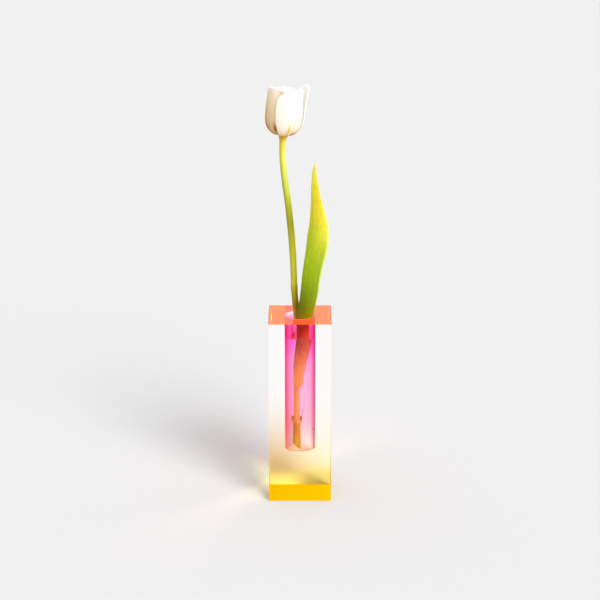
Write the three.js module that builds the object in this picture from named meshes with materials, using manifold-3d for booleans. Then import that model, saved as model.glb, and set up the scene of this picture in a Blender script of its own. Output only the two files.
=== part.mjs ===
// A single cut tulip standing in a square block vase, filled with water.
// Millimetres, +Z up. The origin is the centre of the vase's underside, and the vase's front face looks
// along -Y.
//
// The vase is a solid clear acrylic block with a blind bore down its middle. Thin coloured layers are
// bonded to it: coral on the top, yellow on the underside and a pink lining in the bore. The flower is a bent
// stem on a slanted cut, one broad leaf that clasps the stem under water, the torn base of a second leaf, six
// petals in two whorls of three, a ring of six stamens and a three-sided pistil.
import * as THREE from "three";
import { mergeVertices } from "three/addons/utils/BufferGeometryUtils.js";
import Module from "manifold-3d";

const wasm = await Module();
wasm.setup();

// ---- Driving dimensions ----
const VASE_SIDE = 60;
const VASE_HEIGHT = 180;
const EDGE_ROUND = 0.6; // polished edges of the block
const TOP_LAYER = 0.75; // thickness of the coral layer
const BASE_LAYER = 1.5; // thickness of the yellow layer
const FIT_GAP = 0.3; // clearance between curved pieces that sit in each other

const BORE_DEPTH = 133; // from the top of the vase to the bottom of the drilled bore
const BORE_RADIUS = 15;
const LINING_WALL = 0.6;
const LINING_ROUND = 1.6; // corner between the lining's wall and its floor
const WATER_LEVEL = 161.5;

const STEM_SIDES = 14;
const STEM_TOP = 354.5; // height of the bloom's base
const STEM_NECK = STEM_TOP - 8.5; // where the stem starts to widen under the bloom
const FOOT_RADIUS = 4.1;
const CUT_SLOPE = Math.tan(THREE.MathUtils.degToRad(38)); // slanted cut at the stem's foot, higher towards -X

const BLADE = 0.8; // thickness of petals and leaves
const BLOOM_LEAN = THREE.MathUtils.degToRad(4.5); // the bloom nods to +X
const NECK_RADIUS = 3.4; // the stem half-way through its widening
const RECEPTACLE_RADIUS = 4.4; // the stem's widened end, which carries the petals
const RECEPTACLE_TOP = 1.9; // above the bloom's base

// ---- Worked out from them ----
const LINING_OUTER = BORE_RADIUS - FIT_GAP;
const LINING_INNER = LINING_OUTER - LINING_WALL;
const BORE_FLOOR = VASE_HEIGHT - BORE_DEPTH;
const LINING_FLOOR = BORE_FLOOR + LINING_WALL;
const BLOCK_TOP = VASE_HEIGHT - TOP_LAYER;
const STEM_FOOT = LINING_FLOOR + FIT_GAP;

// ---- Between three.js geometry and manifold solids ----
function toSolid(geometry) {
  const bare = new THREE.BufferGeometry();
  bare.setAttribute("position", geometry.getAttribute("position"));
  if (geometry.index) bare.setIndex(geometry.index);
  const merged = mergeVertices(bare, 1e-4);
  const mesh = new wasm.Mesh({
    numProp: 3,
    vertProperties: new Float32Array(merged.attributes.position.array),
    triVerts: new Uint32Array(merged.index.array),
  });
  return new wasm.Manifold(mesh);
}

function toGeometry(solid) {
  const mesh = solid.getMesh();
  const geometry = new THREE.BufferGeometry();
  geometry.setAttribute("position", new THREE.BufferAttribute(mesh.vertProperties, 3));
  geometry.setIndex(new THREE.BufferAttribute(mesh.triVerts, 1));
  geometry.computeVertexNormals();
  return geometry;
}

function piece(name, geometry, material) {
  const mesh = new THREE.Mesh(geometry, material);
  mesh.name = name;
  return mesh;
}

// ---- Shapes ----

// A body of revolution about +Z. The outline holds [radius, height] from the bottom up.
function turned(outline, sides) {
  const points = outline.map(([radius, height]) => new THREE.Vector2(radius, height));
  return new THREE.LatheGeometry(points, sides).rotateX(Math.PI / 2);
}

// A smooth curve through key rows, read at any place between the first and the last row's first number.
function keyed(rows) {
  const size = rows[0].length - 1;
  const places = new Float32Array(rows.map((row) => row[0]));
  const values = new Float32Array(rows.flatMap((row) => row.slice(1)));
  const curve = new THREE.CubicInterpolant(places, values, size);
  const [first, last] = [places[0], places[places.length - 1]];
  return (place) => Array.from(curve.evaluate(THREE.MathUtils.clamp(place, first, last)));
}

// A closed thin blade about the middle surface at(u, v), with u from -1 to 1 across and v from 0 to 1 up it.
// Both faces are split into triangles alike, so that they stay the thickness apart.
function blade(at, across, along, thickness) {
  const step = 1e-3;
  const positions = [];
  for (const side of [1, -1]) {
    for (let j = 0; j <= along; j++) {
      for (let i = 0; i <= across; i++) {
        const u = (2 * i) / across - 1;
        const v = j / along;
        const du = at(Math.min(u + step, 1), v).sub(at(Math.max(u - step, -1), v));
        const dv = at(u, Math.min(v + step, 1)).sub(at(u, Math.max(v - step, 0)));
        const normal = du.cross(dv).normalize();
        const point = at(u, v).addScaledVector(normal, (side * thickness) / 2);
        positions.push(point.x, point.y, point.z);
      }
    }
  }
  const wide = across + 1;
  const back = wide * (along + 1);
  const index = [];
  for (let j = 0; j < along; j++) {
    for (let i = 0; i < across; i++) {
      const a = j * wide + i;
      const [b, c, d] = [a + 1, a + wide + 1, a + wide];
      index.push(a, b, c, a, c, d);
      index.push(back + a, back + c, back + b, back + a, back + d, back + c);
    }
  }
  const rim = [];
  for (let i = 0; i < across; i++) rim.push(i);
  for (let j = 0; j < along; j++) rim.push(j * wide + across);
  for (let i = across; i > 0; i--) rim.push(along * wide + i);
  for (let j = along; j > 0; j--) rim.push(j * wide);
  rim.forEach((a, k) => {
    const b = rim[(k + 1) % rim.length];
    index.push(a, back + a, back + b, a, back + b, b);
  });
  const geometry = new THREE.BufferGeometry();
  geometry.setAttribute("position", new THREE.Float32BufferAttribute(positions, 3));
  geometry.setIndex(index);
  geometry.computeVertexNormals();
  return geometry;
}

// ---- The vase ----

// The whole outside of the polished block, in one piece, before it is parted into its layers.
function polishedBlock() {
  const half = VASE_SIDE / 2 - EDGE_ROUND;
  const outline = new THREE.Shape();
  outline.moveTo(-half, -half);
  outline.lineTo(half, -half);
  outline.lineTo(half, half);
  outline.lineTo(-half, half);
  outline.closePath();
  const geometry = new THREE.ExtrudeGeometry(outline, {
    depth: VASE_HEIGHT - 2 * EDGE_ROUND,
    bevelEnabled: true,
    bevelThickness: EDGE_ROUND,
    bevelSize: EDGE_ROUND,
    bevelSegments: 2,
  });
  return toSolid(geometry.translate(0, 0, EDGE_ROUND));
}

// The slice of the vase between two heights.
function slab(low, high) {
  const box = new THREE.BoxGeometry(2 * VASE_SIDE, 2 * VASE_SIDE, high - low);
  return toSolid(box.translate(0, 0, (low + high) / 2));
}

const BORE_SIDES = 48;

function boreOf(radius, floor, round) {
  const above = VASE_HEIGHT + 10;
  const corner = radius - round;
  const outline = [
    [0, floor],
    [corner, floor],
    [corner + round * Math.SQRT1_2, floor + round * (1 - Math.SQRT1_2)],
    [radius, floor + round],
    [radius, above],
    [0, above],
  ];
  return toSolid(turned(outline, BORE_SIDES));
}

function vaseLayers() {
  const whole = polishedBlock();
  const bore = boreOf(BORE_RADIUS, BORE_FLOOR, LINING_ROUND);
  const mouth = boreOf(LINING_INNER, LINING_FLOOR, LINING_ROUND);
  const lining = boreOf(LINING_OUTER, BORE_FLOOR, LINING_ROUND);
  return {
    base: whole.intersect(slab(-1, BASE_LAYER)),
    block: whole.intersect(slab(BASE_LAYER, BLOCK_TOP)).subtract(bore),
    top: whole.intersect(slab(BLOCK_TOP, VASE_HEIGHT + 1)).subtract(mouth),
    lining: lining.intersect(slab(0, BLOCK_TOP)).subtract(mouth),
  };
}

// ---- The stem ----

// The stem's centre line, [x, y, z]: it stands on its foot near the front of the bore, leans back to the
// mouth, and above it leans slowly to -X.
const STEM_LINE = [
  [-3.1, -8.7, 45],
  [-3.2, -8.0, 56],
  [-3.4, -5.6, 77],
  [-3.6, -3.3, 97],
  [-3.3, -1.6, 113],
  [-2.9, -0.9, 127],
  [-2.1, -0.4, 140],
  [-1.2, 0.0, 150],
  [-0.8, 0.3, 160],
  [-1.4, 0.6, 170],
  [-3.2, 0.8, 181],
  [-4.6, 1.0, 195],
  [-5.5, 1.0, 207],
  [-5.9, 0.9, 219],
  [-6.9, 0.7, 243],
  [-8.8, 0.4, 267],
  [-11.2, 0.1, 290],
  [-13.6, 0, 308],
  [-15.5, 0, 325],
  [-16.4, 0, 340],
  [-16.1, 0, 348],
  [-15.6, 0, 354],
  [-15.5, 0, 357],
];
const stemCentre = keyed(STEM_LINE.map(([x, y, z]) => [z, x, y]));

// [height, radius]. The swellings are the leaf joints at 77, 113 and 207.
const STEM_RADII = [
  [45, 4.1],
  [60, 4.0],
  [71, 3.9],
  [74, 3.95],
  [77, 4.25],
  [80, 3.35],
  [84, 3.15],
  [96, 3.1],
  [107, 3.1],
  [110, 3.2],
  [113, 3.6],
  [117, 3.25],
  [122, 3.2],
  [160, 3.2],
  [190, 3.2],
  [202, 3.15],
  [205, 3.2],
  [208, 3.45],
  [211, 3.2],
  [216, 3.15],
  [243, 3.2],
  [290, 3.2],
  [325, 3.15],
  [STEM_NECK, 3.05],
];
const stemRadius = keyed(STEM_RADII);

// grow widens the stem all round, to make the hole that it stands in.
function stemGeometry(grow = 0) {
  const rings = [];
  for (let z = 57; z < STEM_NECK - 3; z += z < 215 ? 6 : 9) rings.push(z);
  const joints = [74, 77, 80, 110, 113, 117, 205, 208, 211];
  const heights = [...new Set([...rings, ...joints, STEM_NECK])].sort((a, b) => a - b);
  const foot = STEM_FOOT - grow;
  const outline = [
    [0, foot],
    [FOOT_RADIUS + grow, foot],
    ...heights.map((z) => [stemRadius(z)[0] + grow, z]),
    [NECK_RADIUS + grow, STEM_TOP - 4],
    [RECEPTACLE_RADIUS + grow, STEM_TOP - 0.9],
    [RECEPTACLE_RADIUS + grow, STEM_TOP + RECEPTACLE_TOP - 0.5],
    [RECEPTACLE_RADIUS - 0.5 + grow, STEM_TOP + RECEPTACLE_TOP],
    [0, STEM_TOP + RECEPTACLE_TOP],
  ];
  const geometry = turned(outline, STEM_SIDES);
  const position = geometry.getAttribute("position");
  for (let i = 0; i < position.count; i++) {
    const [x, y, z] = [position.getX(i), position.getY(i), position.getZ(i)];
    const [cx, cy] = stemCentre(z);
    const cut = z < foot + 0.01 ? CUT_SLOPE * (FOOT_RADIUS + grow - x) : 0;
    const nod = z > STEM_TOP - 1 ? x * Math.sin(BLOOM_LEAN) : 0;
    position.setXYZ(i, x + cx, y + cy, z + cut - nod);
  }
  return geometry;
}

// ---- The leaf ----

// Each level section of the leaf is an arc: [height, centre x, centre y, radius, half angle, angle of the
// midrib], angles in degrees from +X. It starts as a sheath round the stem and opens into a broad blade.
const LEAF_SECTIONS = [
  [113, -2.5, -1.9, 5.2, 100, -40],
  [120, -2.2, -1.6, 5.6, 100, -43],
  [130, -1.2, -1.1, 6.6, 98, -46],
  [145, 0.9, -0.7, 8.4, 88, -51],
  [160, 2.6, -0.5, 10.2, 75, -53],
  [171, 2.1, -0.5, 10.9, 67, -55],
  [181, 1.7, -0.6, 11.3, 61, -57],
  [200, 5.4, -1.5, 11.7, 50, -69],
  [227, 9.4, -0.4, 13.75, 42, -78],
  [250, 14.6, 2.2, 16.6, 38, -84],
  [262, 16.0, 2.6, 17.0, 36, -86],
  [272, 16.7, 1.6, 15.6, 34, -87],
  [282, 16.2, -0.4, 12.9, 33, -88],
  [292, 15.1, -2.4, 10.4, 31, -88],
  [303, 14.0, -4.6, 7.8, 30, -88],
  [315, 13.2, -6.0, 5.4, 30, -86],
  [324, 12.9, -6.6, 3.4, 30, -80],
  [330, 13.9, -8.3, 0.9, 30, -70],
];
const LEAF_LOW = LEAF_SECTIONS[0][0];
const LEAF_HIGH = LEAF_SECTIONS[LEAF_SECTIONS.length - 1][0];
const leafSection = keyed(LEAF_SECTIONS);

function leafAt(u, v) {
  const z = LEAF_LOW + (LEAF_HIGH - LEAF_LOW) * v;
  const [cx, cy, radius, half, midrib] = leafSection(z);
  const angle = THREE.MathUtils.degToRad(midrib + u * half);
  return new THREE.Vector3(cx + radius * Math.cos(angle), cy + radius * Math.sin(angle), z);
}

// The hole that the leaf makes in the water: the leaf up to just over the surface, wider and thicker by grow.
function leafHole(grow) {
  const top = (WATER_LEVEL + 3 - LEAF_LOW) / (LEAF_HIGH - LEAF_LOW);
  const at = (u, v) => leafAt(u * 1.05, v * (top + 0.01) - 0.01);
  return blade(at, 10, 12, BLADE + 2 * grow);
}

// ---- The torn base of the lower leaf ----
const TORN_JOINT = 77; // the stem joint that it grows from
const TORN_RADIUS = 4.95;
const TORN_SPREAD = 150; // degrees that the collar reaches round the stem to each side of its front
// The height of the ragged edge, round the stem.
const TORN_TEETH = [1.5, 4.8, 2.2, 3.6, 1.6, 2.6, 1.5, 4.2, 2.4];

// A short collar that is nearly closed round the stem, with a ragged edge.
function tornCollarAt(u, v, grow = 0) {
  const angle = THREE.MathUtils.degToRad((TORN_SPREAD + 6 * grow) * u - 90);
  const place = ((u + 1) / 2) * (TORN_TEETH.length - 1);
  const left = Math.min(Math.floor(place), TORN_TEETH.length - 2);
  const tooth = THREE.MathUtils.lerp(TORN_TEETH[left], TORN_TEETH[left + 1], place - left);
  const z = TORN_JOINT - 1.5 - grow + v * (1.5 + tooth + 3 * grow);
  const [cx, cy] = stemCentre(TORN_JOINT);
  const radius = TORN_RADIUS + 0.5 * v;
  return new THREE.Vector3(cx + radius * Math.cos(angle), cy + radius * Math.sin(angle), z);
}

// The long strip that is left of the leaf's edge, leaning to +X.
function tornStrip(grow) {
  const [cx, cy] = stemCentre(TORN_JOINT);
  const line = new THREE.CatmullRomCurve3([
    new THREE.Vector3(cx + 4.8, cy - 1.4, TORN_JOINT - 0.4 - grow),
    new THREE.Vector3(cx + 5.5, cy - 1.7, TORN_JOINT + 6),
    new THREE.Vector3(cx + 6.8, cy - 2.0, TORN_JOINT + 12),
    new THREE.Vector3(cx + 8.6 + grow, cy - 2.1, TORN_JOINT + 19.5 + 2 * grow),
  ]);
  const half = 0.45 + grow;
  const section = new THREE.Shape();
  section.absellipse(0, 0, half, half, 0, 2 * Math.PI);
  const strip = { steps: 6, curveSegments: 5, bevelEnabled: false, extrudePath: line };
  return toSolid(new THREE.ExtrudeGeometry(section, strip));
}

function tornBase(grow = 0) {
  const collar = toSolid(blade((u, v) => tornCollarAt(u, v, grow), 24, 3, BLADE + 2 * grow));
  return collar.add(tornStrip(grow));
}

// ---- Water ----
function water(stem, leaf, torn) {
  const body = boreOf(LINING_INNER - FIT_GAP, LINING_FLOOR + FIT_GAP, LINING_ROUND);
  return body
    .intersect(slab(0, WATER_LEVEL))
    .subtract(stem)
    .subtract(leaf)
    .subtract(torn);
}

// ---- The bloom, about its own axis, with its base at the origin ----

// [place along the petal, radius from the axis, height, half width].
// The outer petals lie outside the inner ones.
const OUTER_PETAL = keyed([
  [0, 4.75, 0.3, 3.0],
  [0.07, 8.2, 0.7, 3.7],
  [0.15, 11.8, 2.6, 4.9],
  [0.24, 14.9, 6.2, 6.7],
  [0.34, 16.9, 11.2, 8.7],
  [0.46, 17.8, 18.0, 10.5],
  [0.6, 17.9, 26.5, 11.2],
  [0.74, 17.7, 35.0, 10.9],
  [0.86, 17.5, 42.0, 9.3],
  [0.94, 17.5, 46.3, 6.8],
  [1, 17.6, 49.2, 2.4],
]);
const INNER_PETAL = keyed([
  [0, 4.75, 1.7, 3.2],
  [0.07, 7.8, 2.2, 5.2],
  [0.15, 10.9, 4.2, 7.8],
  [0.24, 13.4, 7.6, 10.2],
  [0.34, 15.1, 12.4, 12.0],
  [0.46, 15.8, 19.0, 13.2],
  [0.6, 15.8, 27.3, 13.7],
  [0.74, 15.5, 35.7, 13.3],
  [0.86, 15.2, 42.8, 12.0],
  [0.94, 15.1, 47.1, 9.6],
  [1, 15.1, 50.0, 3.4],
]);

// Each petal's name, whorl and where its middle points (degrees from +X), how far its belly and its tip stand
// out, its length and width beside the whorl's, and how much wider its tip is.
const PETALS = [
  ["petal_outer_front", OUTER_PETAL, -86, 0.2, -0.2, 0.88, 0.92, 1.4],
  ["petal_outer_right", OUTER_PETAL, 31, -0.3, 4.0, 0.96, 1.0, 0.8],
  ["petal_outer_left", OUTER_PETAL, 150, 0.2, -0.6, 0.885, 1.0, 3.0],
  ["petal_inner_right", INNER_PETAL, -23, 0.4, 0.0, 0.9, 1.0, 5.0],
  ["petal_inner_back", INNER_PETAL, 97, -0.5, 0.2, 0.86, 1.12, 4.5],
  ["petal_inner_left", INNER_PETAL, 218, 0.6, 0.3, 0.91, 1.03, 8.0],
];

function petalGeometry([, rows, middle, belly, flare, length, width, blunt]) {
  const at = (u, v) => {
    const [radius, height, half] = rows(v);
    const reach = radius + belly * Math.sin(Math.PI * v) + flare * v ** 3;
    const turn = (u * (half * width + blunt * v ** 12)) / reach;
    const angle = THREE.MathUtils.degToRad(middle) + turn;
    const droop = 0.6 * u ** 2 * v ** 2 + 0.8 * u ** 6 * v ** 8; // the edges end lower than the middle
    return new THREE.Vector3(
      reach * Math.cos(angle),
      reach * Math.sin(angle),
      (height - droop) * length,
    );
  };
  return blade(at, 8, 14, BLADE);
}

// The pistil: a three-sided ovary under a three-lobed stigma.
const PISTIL_SIDES = 18;

function pistilGeometry() {
  const foot = RECEPTACLE_TOP + FIT_GAP;
  const outline = [
    [0, foot],
    [2.0, foot],
    [2.7, foot + 3],
    [2.9, foot + 8],
    [2.6, foot + 14],
    [2.1, foot + 17.5],
    [3.1, foot + 19],
    [3.3, foot + 20.5],
    [2.2, foot + 21.6],
    [0, foot + 21],
  ];
  const geometry = turned(outline, PISTIL_SIDES);
  const position = geometry.getAttribute("position");
  for (let i = 0; i < position.count; i++) {
    const [x, y, z] = [position.getX(i), position.getY(i), position.getZ(i)];
    const lobes = z > foot + 18 ? 0.32 : 0.1;
    const scale = 1 + lobes * Math.cos(3 * Math.atan2(y, x));
    position.setXYZ(i, x * scale, y * scale, z);
  }
  return geometry;
}

// Six stamens, fused to the narrow ring that they rise from.
const STAMENS = 6;
const STAMEN_CIRCLE = 3.6; // radius of the circle that they stand on
const STAMEN_LEAN = THREE.MathUtils.degToRad(11); // outwards

function stamens() {
  const foot = RECEPTACLE_TOP + FIT_GAP;
  const ringOutline = [
    [3.0, foot],
    [4.1, foot],
    [4.1, foot + 0.9],
    [3.0, foot + 0.9],
    [3.0, foot],
  ];
  const stamenOutline = [
    [0, 0],
    [0.75, 0],
    [0.65, 6],
    [0.45, 8.4],
    [1.25, 9.4],
    [1.4, 13],
    [1.15, 18],
    [0.4, 20.5],
    [0, 20.8],
  ];
  let whole = toSolid(turned(ringOutline, 4 * STAMENS));
  for (let k = 0; k < STAMENS; k++) {
    const angle = (2 * Math.PI * k) / STAMENS + THREE.MathUtils.degToRad(20);
    const one = turned(stamenOutline, 7)
      .rotateY(STAMEN_LEAN)
      .translate(STAMEN_CIRCLE, 0, foot + 0.3)
      .rotateZ(angle);
    whole = whole.add(toSolid(one));
  }
  return whole;
}

// ---- Materials ----
function plastic(colour, opacity) {
  return new THREE.MeshStandardMaterial({
    color: colour,
    roughness: 0.05,
    metalness: 0,
    transparent: opacity < 1,
    opacity,
  });
}

function plant(colour, roughness = 0.55) {
  return new THREE.MeshStandardMaterial({ color: colour, roughness, metalness: 0 });
}

const clearAcrylic = plastic(0xf4f6f4, 0.3);
const coralAcrylic = plastic(0xff9a74, 0.8);
const yellowAcrylic = plastic(0xffc400, 0.9);
const pinkAcrylic = plastic(0xff4f9c, 0.6);
const clearWater = plastic(0xf2f8fb, 0.3);
const stemGreen = plant(0xb9c33a);
const leafGreen = plant(0x9cbc1e);
const tornBrown = plant(0xb98a3c, 0.7);
const petalWhite = plant(0xfaf6ee, 0.6);
const pistilGreen = plant(0xc9cf7a);
const stamenYellow = plant(0xe2bf4a, 0.8);

// ---- Assembly ----
const tulipInVase = new THREE.Group();

const layers = vaseLayers();
tulipInVase.add(
  piece("vase_base_layer", toGeometry(layers.base), yellowAcrylic),
  piece("vase_block", toGeometry(layers.block), clearAcrylic),
  piece("vase_top_layer", toGeometry(layers.top), coralAcrylic),
  piece("vase_bore_lining", toGeometry(layers.lining), pinkAcrylic),
);

const waterBody = water(
  toSolid(stemGeometry(FIT_GAP)),
  toSolid(leafHole(FIT_GAP)),
  tornBase(FIT_GAP),
);
tulipInVase.add(
  piece("water", toGeometry(waterBody), clearWater),
  piece("stem", stemGeometry(), stemGreen),
  piece("leaf", blade(leafAt, 8, 34, BLADE), leafGreen),
  piece("torn_leaf_base", toGeometry(tornBase()), tornBrown),
);

const bloom = new THREE.Group();
bloom.position.set(stemCentre(STEM_TOP)[0], stemCentre(STEM_TOP)[1], STEM_TOP);
bloom.rotation.y = BLOOM_LEAN;
bloom.add(...PETALS.map((petal) => piece(petal[0], petalGeometry(petal), petalWhite)));
bloom.add(
  piece("pistil", pistilGeometry(), pistilGreen),
  piece("stamens", toGeometry(stamens()), stamenYellow),
);
tulipInVase.add(bloom);

export default tulipInVase;
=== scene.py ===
import math

import bpy
import numpy as np
from mathutils import Euler, Matrix, Vector


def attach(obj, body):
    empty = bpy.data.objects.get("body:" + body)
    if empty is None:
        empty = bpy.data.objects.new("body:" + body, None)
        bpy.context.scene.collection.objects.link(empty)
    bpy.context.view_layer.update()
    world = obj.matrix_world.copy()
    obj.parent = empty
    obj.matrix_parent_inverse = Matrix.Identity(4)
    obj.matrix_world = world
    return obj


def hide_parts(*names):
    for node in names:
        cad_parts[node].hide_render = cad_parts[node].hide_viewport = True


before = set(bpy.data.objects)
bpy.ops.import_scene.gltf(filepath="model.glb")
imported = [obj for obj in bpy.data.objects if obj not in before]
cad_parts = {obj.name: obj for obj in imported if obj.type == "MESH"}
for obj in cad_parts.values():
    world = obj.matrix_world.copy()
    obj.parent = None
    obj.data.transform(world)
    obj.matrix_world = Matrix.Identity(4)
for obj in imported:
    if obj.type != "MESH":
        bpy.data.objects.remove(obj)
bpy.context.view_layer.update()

MM = 0.001

# ---- The vase, in metres ----
VASE_SIDE = 60 * MM
VASE_HEIGHT = 180 * MM
EDGE_ROUND = 0.5 * MM  # the block's polished edges
BORE_RADIUS = 14.2 * MM
BORE_FLOOR = 47.4 * MM
BORE_ROUND = 1.6 * MM  # corner between the bore's wall and its floor
WATER_LEVEL = 161.5 * MM
MENISCUS = 0.9 * MM  # how far the water climbs the wall
FILM_DEPTH = 0.05 * MM  # a colour film starts this far under the surface
CORAL_FILM = 0.25 * MM
PINK_FILM = 0.45 * MM
YELLOW_LAYER = 1.5 * MM
YELLOW_EDGE = 0.2 * MM
WATER_GAP = 0.02 * MM  # so thin that it isn't seen
# How far the tools that open the mouth reach
BELOW_TOP = VASE_HEIGHT - 10 * MM
PAST_TOP = VASE_HEIGHT + 10 * MM
# The water's surface sinks from the wall inwards in rings: [step inwards in mm, share of the climb it drops]
MENISCUS_STEPS = [(0.35, 0.55), (0.6, 0.27), (1.1, 0.15), (1.6, 0.03)]
ROUND_SIDES = 192
ROUND_STEPS = 6  # in the bore's rounded corner
EDGE_STEPS = 3  # in a polished edge
CRISP = math.radians(40)  # a steeper turn than this between two faces is a crisp edge
# Upward shares of face normals
LEVEL = 0.99  # a level face has more
SURFACE = 0.9  # the water's surface has more, apart from its steep rim
LEAST_UP = 0.3  # all of the water's surface has more, and its wall and floor have less
A_HAIR = 0.001 * MM  # to tell on which side of a level a point lies
LEFT_TO_RIGHT = (-VASE_SIDE / 2, VASE_SIDE / 2)

# ---- The stem, in millimetres: [height, x, y] and [height, radius] ----
STEM_FOOT = 48.2
STEM_LINE = [
    (45, -3.1, -8.7),
    (56, -3.2, -8.0),
    (77, -3.4, -5.6),
    (97, -3.6, -3.3),
    (113, -3.3, -1.6),
    (127, -2.9, -0.9),
    (140, -2.1, -0.4),
    (150, -1.2, 0.0),
    (160, -0.8, 0.3),
    (170, -1.4, 0.6),
    (181, -3.2, 0.8),
    (195, -4.6, 1.0),
    (207, -5.5, 1.0),
    (219, -5.9, 0.9),
    (243, -6.9, 0.7),
    (267, -8.8, 0.4),
    (290, -11.2, 0.1),
    (308, -13.6, 0.0),
    (325, -15.5, 0.0),
    (340, -16.4, 0.0),
    (348, -16.1, 0.0),
    (354, -15.6, 0.0),
    (357, -15.5, 0.0),
]
STEM_RADII = [
    (45, 4.05),
    (60, 3.95),
    (71, 3.85),
    (74, 3.9),
    (76.5, 4.15),
    (80, 3.3),
    (84, 3.1),
    (96, 3.05),
    (107, 3.05),
    (110, 3.15),
    (112.5, 3.5),
    (117, 3.2),
    (122, 3.15),
    (160, 3.15),
    (190, 3.15),
    (202, 3.1),
    (205, 3.15),
    (208.5, 3.4),
    (211, 3.15),
    (216, 3.1),
    (243, 3.15),
    (290, 3.15),
    (325, 3.1),
    (346, 3.0),
    (350.5, 3.35),
    (353, 4.1),
    (355, 4.35),
]
STEM_NECK = 350  # where the receptacle starts
STEM_TOP = 354.5
STEM_SIDES = 40
STALK_CRISP = math.radians(50)  # like CRISP, for the stem and the fibres
RING_STEP = 2.5  # between the stem's rings
JOINT_RINGS = [75, 76.5, 78, 111, 112.5, 114, 207, 208.5, 209.2]
RECEPTACLE_RINGS = [STEM_NECK, 351, 352, 353, 354, 355]
DOME_RISE, DOME_INSET = 0.7, 0.6  # the rounded end of the receptacle
CUT_SLOPE = math.tan(math.radians(38))
CUT_REACH = 4.0  # from the stem's axis to the low side of its cut

# ---- The leaf's level sections: [height, centre x, centre y, radius, half angle, angle of the midrib] ----
LEAF_SECTIONS = [
    (113, -2.5, -1.9, 5.2, 100, -40),
    (120, -2.2, -1.6, 5.6, 100, -43),
    (130, -1.2, -1.1, 6.6, 98, -46),
    (145, 0.9, -0.7, 8.4, 88, -51),
    (160, 2.6, -0.5, 10.2, 75, -53),
    (171, 2.1, -0.5, 10.9, 67, -55),
    (181, 1.7, -0.6, 11.3, 61, -57),
    (200, 5.4, -1.5, 11.7, 50, -69),
    (227, 9.4, -0.4, 13.75, 42, -78),
    (250, 14.6, 2.2, 16.6, 38, -84),
    (262, 16.0, 2.6, 17.0, 36, -86),
    (272, 16.7, 1.6, 15.6, 34, -87),
    (282, 16.2, -0.4, 12.9, 33, -88),
    (292, 15.1, -2.4, 10.4, 31, -88),
    (303, 14.0, -4.6, 7.8, 30, -88),
    (315, 13.2, -6.0, 5.4, 30, -86),
    (324, 12.9, -6.6, 3.4, 30, -80),
    (330, 13.9, -8.3, 0.9, 30, -70),
]
LEAF_LOW, LEAF_HIGH = LEAF_SECTIONS[0][0], LEAF_SECTIONS[-1][0]
LEAF_GRID = (80, 110)  # faces across and along
BLADE = 0.7  # thickness of leaf and petals
SHEATH_FRAY = 0.02  # the share of the leaf's length that is frayed at its foot
LEAF_FIBRES = [
    [(-6.4, -5.0, 128.5), (-6.9, -5.2, 133), (-7.6, -5.3, 137), (-8.7, -5.3, 141.5)],
    [(0.4, -6.3, 114), (0.9, -6.6, 111.4), (1.9, -6.8, 110.0)],
    [(2.0, -4.9, 114), (2.5, -5.1, 111), (2.4, -5.2, 107.6)],
]
LEAF_FIBRE_RADIUS = 0.3
LEAF_FRAY = (-1, 1)  # how far the sheath's threads end above or under its edge

# ---- The torn leaf base round its joint, in millimetres ----
TORN_JOINT = 77
TORN_SPREAD = 150  # degrees to each side of the front
TORN_TEETH = [1.5, 4.8, 2.2, 3.6, 1.6, 2.6, 1.5, 4.2, 2.4]  # heights of its ragged edge
TORN_FOOT = 1.5  # how far it starts under the joint
TORN_RADIUS = 4.75
TORN_FLARE = 0.2
TORN_GRID = (96, 8)
TORN_FRAY = (-0.7, 0.5)
# A long strip and two splinters: radius, and points about the joint
TORN_FIBRES = [
    (0.4, [(4.8, -1.4, 0), (5.5, -1.7, 6), (6.8, -2.0, 12), (8.6, -2.1, 19.5)]),
    (0.22, [(-4.8, -1.2, 2), (-5.0, -1.4, 4), (-5.4, -1.5, 6)]),
    (0.22, [(2.2, -4.4, 1), (2.5, -4.5, 3.4), (3.1, -4.6, 6)]),
]
FIBRE_TAPER = 0.85
FIBRE_RINGS = 8  # to each stretch between two of a fibre's points
FIBRE_SIDES = 8

# ---- The bloom, in millimetres about its own axis: [place along the petal, radius, height, half width] ----
BLOOM_LEAN = math.radians(4.5)
OUTER_PETAL = [
    (0, 4.75, 0.3, 3.0),
    (0.07, 8.2, 0.7, 3.7),
    (0.15, 11.8, 2.6, 4.9),
    (0.24, 14.9, 6.2, 6.7),
    (0.34, 16.9, 11.2, 8.7),
    (0.46, 17.8, 18.0, 10.5),
    (0.6, 17.9, 26.5, 11.2),
    (0.74, 17.7, 35.0, 10.9),
    (0.86, 17.5, 42.0, 9.3),
    (0.94, 17.5, 46.3, 6.8),
    (1, 17.6, 49.2, 2.4),
]
INNER_PETAL = [
    (0, 4.75, 1.7, 3.2),
    (0.07, 7.8, 2.2, 5.2),
    (0.15, 10.9, 4.2, 7.8),
    (0.24, 13.4, 7.6, 10.2),
    (0.34, 15.1, 12.4, 12.0),
    (0.46, 15.8, 19.0, 13.2),
    (0.6, 15.8, 27.3, 13.7),
    (0.74, 15.5, 35.7, 13.3),
    (0.86, 15.2, 42.8, 12.0),
    (0.94, 15.1, 47.1, 9.6),
    (1, 15.1, 50.0, 3.4),
]
PETAL_GRID = (30, 44)
EDGE_WAVE, EDGE_TURNS = 0.35, 9  # a petal's sides wave in and out as they rise
FACE_WAVE, FACE_TURNS = 0.15, 5  # its face waves across
CREASE_DEPTH, CREASE_WIDTH = 0.3, 0.1  # the furrow along its rib, deepest at the foot
SIDE_DROOP, CORNER_DROOP, TIP_DROOP = 0.6, 0.8, 0.6
TIP_RAGS = [(0.35, 7), (0.25, 17)]  # coarse and fine waves of its ragged tip
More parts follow.
